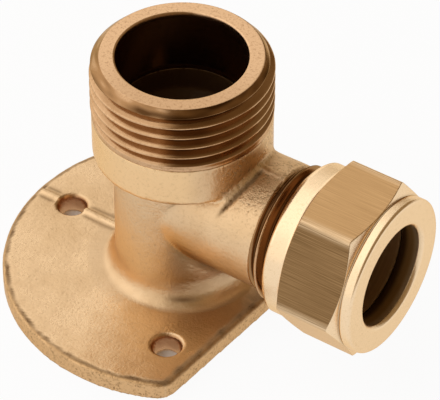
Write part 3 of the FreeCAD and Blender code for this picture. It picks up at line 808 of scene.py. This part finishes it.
# Compression nut: turned from drawn hexagon bar, so that its flats keep the bar's long streaks.
# Its collar, shoulders and nose are turned bright; inside are a plain mouth, a cone for the olive and a bore.
nut_low, nut_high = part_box("compression_nut")
NUT_REAR = nut_low.x
NUT_FRONT = nut_high.x
NUT_FLATS = 23.8 * MM
NUT_CLOCKING = math.radians(4.6)
NUT_CORNER = NUT_FLATS / math.sqrt(3)
NUT_COLLAR_RADIUS = 11.6 * MM
NUT_COLLAR_END = NUT_REAR + 3.2 * MM
NUT_HEX_START = NUT_COLLAR_END + 0.9 * MM
NUT_NOSE_RADIUS = 11.85 * MM
NUT_NOSE_START = NUT_FRONT - 1.8 * MM
NUT_HEX_END = NUT_NOSE_START - 0.9 * MM
NUT_MOUTH = 7.7 * MM
NUT_LAND = 3.25 * MM
NUT_BORE = 10.63 * MM
NUT_GROOVE_DEPTH = 0.12 * MM
NUT_GROOVE_WIDTH = 0.2 * MM
NUT_RECESS = 1.3 * MM
NUT_EDGE = 0.1 * MM
NUT_CORNER_ROUND = 0.5 * MM
NUT_WORN_WIDTH = 0.6 * MM
NUT_DRAWN_EDGE = 0.08 * MM
NUT_GROOVE_SHADE = 0.6
FLAT_EDGE_COSINE = 0.4
FLAT_EDGE_SOFTNESS = 0.2
NUT_COLUMNS = 504
DARKER_PAIR_TURN = math.radians(150)
LIGHTER_PAIR_TURN = math.radians(210)


def hexagon(angle, flats, clocking, blend):
    """A hexagon's radius at an angle: half its flats over the cosine from the nearest flat, then rounded."""
    turned = np.mod(angle - clocking - math.pi / 2 + math.pi / 6, math.pi / 3) - math.pi / 6
    near = flats / 2 / np.cos(turned)
    far = flats / 2 / np.cos(np.abs(turned) - math.pi / 3)
    return soft_min(near, far, blend)


def flat_pair(angle, turn):
    """1 on the two opposite flats that stand at a turn from the clocking, and 0 on the other four."""
    return rises(np.cos(2 * (angle - NUT_CLOCKING - turn)), FLAT_EDGE_COSINE, FLAT_EDGE_SOFTNESS)


nut_angle = np.linspace(0, 2 * math.pi, NUT_COLUMNS, endpoint=False)
each_way = np.ones((1, NUT_COLUMNS))

# The outside from the rear face over collar, hexagon and nose to the mouth: axial place, radius and steps
outer_x, outer_r = section(
    (NUT_REAR, NUT_BORE + 0.1 * MM, 0),
    (NUT_REAR, NUT_COLLAR_RADIUS - 0.4 * MM, 2),
    (NUT_REAR + 0.1 * MM, NUT_COLLAR_RADIUS - 0.25 * MM, 2),
    (NUT_REAR + 0.4 * MM, NUT_COLLAR_RADIUS, 3),
    (NUT_COLLAR_END - 0.1 * MM, NUT_COLLAR_RADIUS, 8),
    (NUT_COLLAR_END, NUT_COLLAR_RADIUS + 0.05 * MM, 3),
    (NUT_HEX_START, NUT_CORNER, 24),
    (NUT_HEX_END, NUT_CORNER + 0.001 * MM, 30),
    (NUT_NOSE_START, NUT_NOSE_RADIUS - NUT_GROOVE_DEPTH, 24),
    (NUT_NOSE_START + NUT_GROOVE_WIDTH, NUT_NOSE_RADIUS - NUT_GROOVE_DEPTH, 3),
    (NUT_NOSE_START + NUT_GROOVE_WIDTH + NUT_EDGE, NUT_NOSE_RADIUS, 3),
    (NUT_FRONT - 0.35 * MM, NUT_NOSE_RADIUS - 0.01 * MM, 8),
    (NUT_FRONT - 0.2 * MM, NUT_NOSE_RADIUS - 0.06 * MM, 3),
    (NUT_FRONT - 0.06 * MM, NUT_NOSE_RADIUS - 0.2 * MM, 3),
    (NUT_FRONT, NUT_NOSE_RADIUS - 0.4 * MM, 3),
    (NUT_FRONT, NUT_MOUTH + 0.55 * MM, 12),
    (NUT_FRONT - 0.07 * MM, NUT_MOUTH + 0.38 * MM, 2),
)
flat_r = hexagon(nut_angle, NUT_FLATS, NUT_CLOCKING, NUT_CORNER_ROUND)[None, :]
nut_r = soft_min(outer_r * each_way, flat_r + 0 * outer_r, NUT_EDGE)
drawn = soft_step((outer_r - flat_r) / NUT_DRAWN_EDGE + 0.5)
worn = rises(flat_r, NUT_CORNER - NUT_WORN_WIDTH, 0.4 * MM) * drawn
tarnished = flat_pair(nut_angle, DARKER_PAIR_TURN) * drawn
burnished = flat_pair(nut_angle, LIGHTER_PAIR_TURN) * drawn

# The inside from the mouth over the cone to the rear face
inner_x, inner_r = section(
    (NUT_FRONT - 0.4 * MM, NUT_MOUTH + 0.06 * MM, 0),
    (NUT_FRONT - 0.55 * MM, NUT_MOUTH, 1),
    (NUT_FRONT - NUT_LAND, NUT_MOUTH, 12),
    (NUT_FRONT - NUT_LAND - NUT_BORE + NUT_MOUTH, NUT_BORE, 4),
    (NUT_REAR + 0.1 * MM, NUT_BORE, 10),
)
no_inner = 0 * inner_r * each_way
# The groove behind the nose and the recess at the inner end of the mouth are painted dark as shade.
groove = bell(outer_x - NUT_NOSE_START - NUT_GROOVE_WIDTH / 2, 0.7 * NUT_GROOVE_WIDTH) * (1 - drawn)
mouth = falls(inner_x, NUT_FRONT, 0.5 * NUT_LAND) * each_way
recess = falls(inner_x, NUT_FRONT - NUT_LAND + NUT_RECESS, 0.7 * NUT_RECESS) * each_way
nut = lathe_piece(
    "nut", "branch",
    np.concatenate([outer_x, inner_x]),
    np.concatenate([nut_r, inner_r * each_way]),
    {"drawn": np.concatenate([drawn, no_inner]),
     "worn": np.concatenate([worn, no_inner]),
     "tarnished": np.concatenate([tarnished, no_inner]),
     "burnished": np.concatenate([burnished, no_inner]),
     "inside": np.concatenate([0 * nut_r, mouth]),
     "dark": np.concatenate([NUT_GROOVE_SHADE * groove, recess]),
     "round_axis": np.tile(nut_angle * NUT_FLATS / 2, (len(outer_x) + len(inner_x), 1)),
     "down_section": np.concatenate([outer_x - outer_r, inner_x + inner_r]) * each_way})

NUT_BRIGHT = (0.96, 0.73, 0.48)
NUT_FLAT = (0.68, 0.43, 0.21)
NUT_STREAK = (0.51, 0.305, 0.14)
NUT_DARKER_FLAT = (0.17, 0.095, 0.038)
NUT_INSIDE = (0.25, 0.14, 0.05)
NUT_SPACING = 0.06 * MM
STREAK_SPACING = 0.13 * MM
STREAKS_ALONG = 70.0

# Two sets of tool lines: rings on the turned faces and streaks along the drawn flats
turned_brass, tree, shader, place_node = new_metal("turned_brass")
split = add_node(tree, "ShaderNodeSeparateXYZ", {"Vector": place_node})
stretch = add_node(tree, "ShaderNodeMath", {0: split.outputs["X"], 1: STREAKS_ALONG}, operation="MULTIPLY")
turned = add_node(tree, "ShaderNodeGroup", {
    "Across": read_mask(tree, "down_section"), "Spacing": NUT_SPACING}, node_tree=tool_marks)
streaks = add_node(tree, "ShaderNodeGroup", {
    "Across": read_mask(tree, "round_axis"), "Along": stretch.outputs[0], "Spacing": STREAK_SPACING,
}, node_tree=tool_marks)
patches = add_node(tree, "ShaderNodeGroup", {
    "Vector": place_node, "Scale": CUT_PATCH_SCALE}, node_tree=tarnish)
is_drawn = read_mask(tree, "drawn")

# Two opposite flats are darker and two lighter, and the corners between flats are worn bright
dark_streaks = add_node(tree, "ShaderNodeMapRange", {
    "Value": streaks.outputs["Height"], "From Min": 0.3, "From Max": 0.7}).outputs[0]
flat_colour = mix_colours(tree, dark_streaks, NUT_FLAT, NUT_STREAK)
darker_flat = calculate(tree, "MULTIPLY_ADD", dark_streaks, 0.35, 0.62)
darker_flat = calculate(tree, "MULTIPLY", read_mask(tree, "tarnished"), darker_flat)
flat_colour = mix_colours(tree, darker_flat, flat_colour, NUT_DARKER_FLAT)
lighter_flat = calculate(tree, "MULTIPLY_ADD", dark_streaks, -0.3, 0.8)
lighter_flat = calculate(tree, "MULTIPLY", read_mask(tree, "burnished"), lighter_flat)
flat_colour = mix_colours(tree, lighter_flat, flat_colour, NUT_BRIGHT)
worn_streaks = calculate(tree, "MULTIPLY_ADD", dark_streaks, -0.6, 0.65)
worn_streaks = calculate(tree, "MULTIPLY", worn_streaks, read_mask(tree, "worn"))
flat_colour = mix_colours(tree, worn_streaks, flat_colour, NUT_BRIGHT)

# Turned faces are bright with a few specks, the groove and the recess are painted dark as shade, and the
# inside is dark and dull
specks = calculate(tree, "MULTIPLY", patches.outputs["Specks"], 0.3)
turned_colour = mix_colours(tree, specks, NUT_BRIGHT, NUT_FLAT)
colour = mix_colours(tree, is_drawn, turned_colour, flat_colour)
colour = mix_colours(tree, read_mask(tree, "inside"), colour, NUT_INSIDE)
colour = mix_colours(tree, read_mask(tree, "dark"), colour, SHADE_DARK)
tree.links.new(colour, shader.inputs["Base Color"])
metallic = calculate(tree, "MULTIPLY_ADD", read_mask(tree, "inside"), -0.8, 1.0)
tree.links.new(metallic, shader.inputs["Metallic"])
tree.links.new(calculate(tree, "MULTIPLY_ADD", is_drawn, 0.12, 0.26), shader.inputs["Roughness"])
marks = add_node(tree, "ShaderNodeMix", {}, data_type="FLOAT")
tree.links.new(is_drawn, marks.inputs[0])
tree.links.new(turned.outputs["Height"], marks.inputs[2])
tree.links.new(streaks.outputs["Height"], marks.inputs[3])
bump = add_node(tree, "ShaderNodeBump", {"Height": marks.outputs[0], "Strength": 0.3, "Distance": TOOL_DEPTH})
tree.links.new(bump.outputs[0], shader.inputs["Normal"])
nut.data.materials.append(turned_brass)
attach(nut, "nut")
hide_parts("compression_nut")

# Floor and light: a white table that shows white to the camera and in the metal, and dark through the holes.
# It is clear from below, so that the wall face can be seen.
# The room is bright on its left side and dim on its right, with a soft lamp high on the left.
FLOOR_SIZE = 4.0
FLOOR_WHITE = (0.9, 0.9, 0.9, 1.0)
FLOOR_SEEN = 0.94
FLOOR_IN_METAL = 0.8
FLOOR_DROP = 0.02 * MM
COVERED_RADIUS = FLANGE_RADIUS - 1.5 * MM
COVERED_SIDE = FLANGE_FLAT - 3.5 * MM
half = FLOOR_SIZE / 2
floor_mesh = bpy.data.meshes.new("floor")
floor_corners = [(-half, -half, 0), (half, -half, 0), (half, half, 0), (-half, half, 0)]
floor_mesh.from_pydata(floor_corners, [], [(0, 1, 2, 3)])
floor = bpy.data.objects.new("floor", floor_mesh)
floor.location.z = -FLOOR_DROP
bpy.context.scene.collection.objects.link(floor)
white_table = bpy.data.materials.new("white_table")
white_table.use_nodes = True
tree = white_table.node_tree
tree.nodes.clear()
diffuse = add_node(tree, "ShaderNodeBsdfDiffuse", {"Color": FLOOR_WHITE})
glow = add_node(tree, "ShaderNodeEmission", {"Strength": 1.0})
ray = add_node(tree, "ShaderNodeLightPath", {})
mirrored = calculate(tree, "MAXIMUM", ray.outputs["Is Glossy Ray"], ray.outputs["Is Transmission Ray"])
mirrored = calculate(tree, "MULTIPLY", mirrored, FLOOR_IN_METAL)

# The table under the flange doesn't glow, so that the screw holes look deep
surface = add_node(tree, "ShaderNodeNewGeometry", {})
spot = surface.outputs["Position"]
reach = add_node(tree, "ShaderNodeVectorMath", {0: spot}, operation="LENGTH").outputs["Value"]
spot_x = add_node(tree, "ShaderNodeSeparateXYZ", {"Vector": spot}).outputs["X"]
covered = calculate(tree, "MULTIPLY", calculate(tree, "LESS_THAN", reach, COVERED_RADIUS),
                    calculate(tree, "LESS_THAN", spot_x, COVERED_SIDE))
seen = calculate(tree, "MULTIPLY", ray.outputs["Is Camera Ray"], FLOOR_SEEN)
seen = calculate(tree, "MULTIPLY", seen, calculate(tree, "SUBTRACT", 1.0, covered))
glowing = calculate(tree, "MAXIMUM", mirrored, seen)
blend = add_node(tree, "ShaderNodeMixShader", {0: glowing, 1: diffuse.outputs[0], 2: glow.outputs[0]})
clear = add_node(tree, "ShaderNodeBsdfTransparent", {})
one_sided = add_node(tree, "ShaderNodeMixShader", {
    0: surface.outputs["Backfacing"], 1: blend.outputs[0], 2: clear.outputs[0]})
add_node(tree, "ShaderNodeOutputMaterial", {"Surface": one_sided.outputs[0]})
floor_mesh.materials.append(white_table)

WORLD_LIGHT_SIDE = (1.13, 1.085, 1.01)
WORLD_DIM_SIDE = (0.28, 0.2, 0.107)
WORLD_BORDER_TILT = 0.32
WORLD_DIM_UNTIL = -0.02
WORLD_LIGHT_FROM = -0.14
world = bpy.data.worlds.new("studio")
world.use_nodes = True
bpy.context.scene.world = world
tree = world.node_tree
direction = add_node(tree, "ShaderNodeTexCoord", {}).outputs["Generated"]
split = add_node(tree, "ShaderNodeSeparateXYZ", {"Vector": direction})
side = add_node(tree, "ShaderNodeMath", {
    0: split.outputs["Y"], 1: WORLD_BORDER_TILT, 2: split.outputs["X"]}, operation="MULTIPLY_ADD")
level = add_node(tree, "ShaderNodeMapRange", {
    "Value": side.outputs[0], "From Min": WORLD_DIM_UNTIL, "From Max": WORLD_LIGHT_FROM,
}, interpolation_type="SMOOTHSTEP")
room = mix_colours(tree, level.outputs[0], WORLD_DIM_SIDE, WORLD_LIGHT_SIDE)
tree.links.new(room, tree.nodes["Background"].inputs["Color"])

LAMP_PLACE = Vector((-0.6, -0.2, 0.6))
LAMP_SIZE = 1.2
LAMP_POWER = 1.2
lamp_data = bpy.data.lights.new("left_softbox", "AREA")
lamp_data.size = LAMP_SIZE
lamp_data.energy = LAMP_POWER
lamp = bpy.data.objects.new("left_softbox", lamp_data)
lamp.location = LAMP_PLACE
lamp.rotation_euler = (LAMP_PLACE - CAMERA_TARGET).to_track_quat("Z", "Y").to_euler()
bpy.context.scene.collection.objects.link(lamp)
bpy.context.scene.view_settings.view_transform = "Standard"
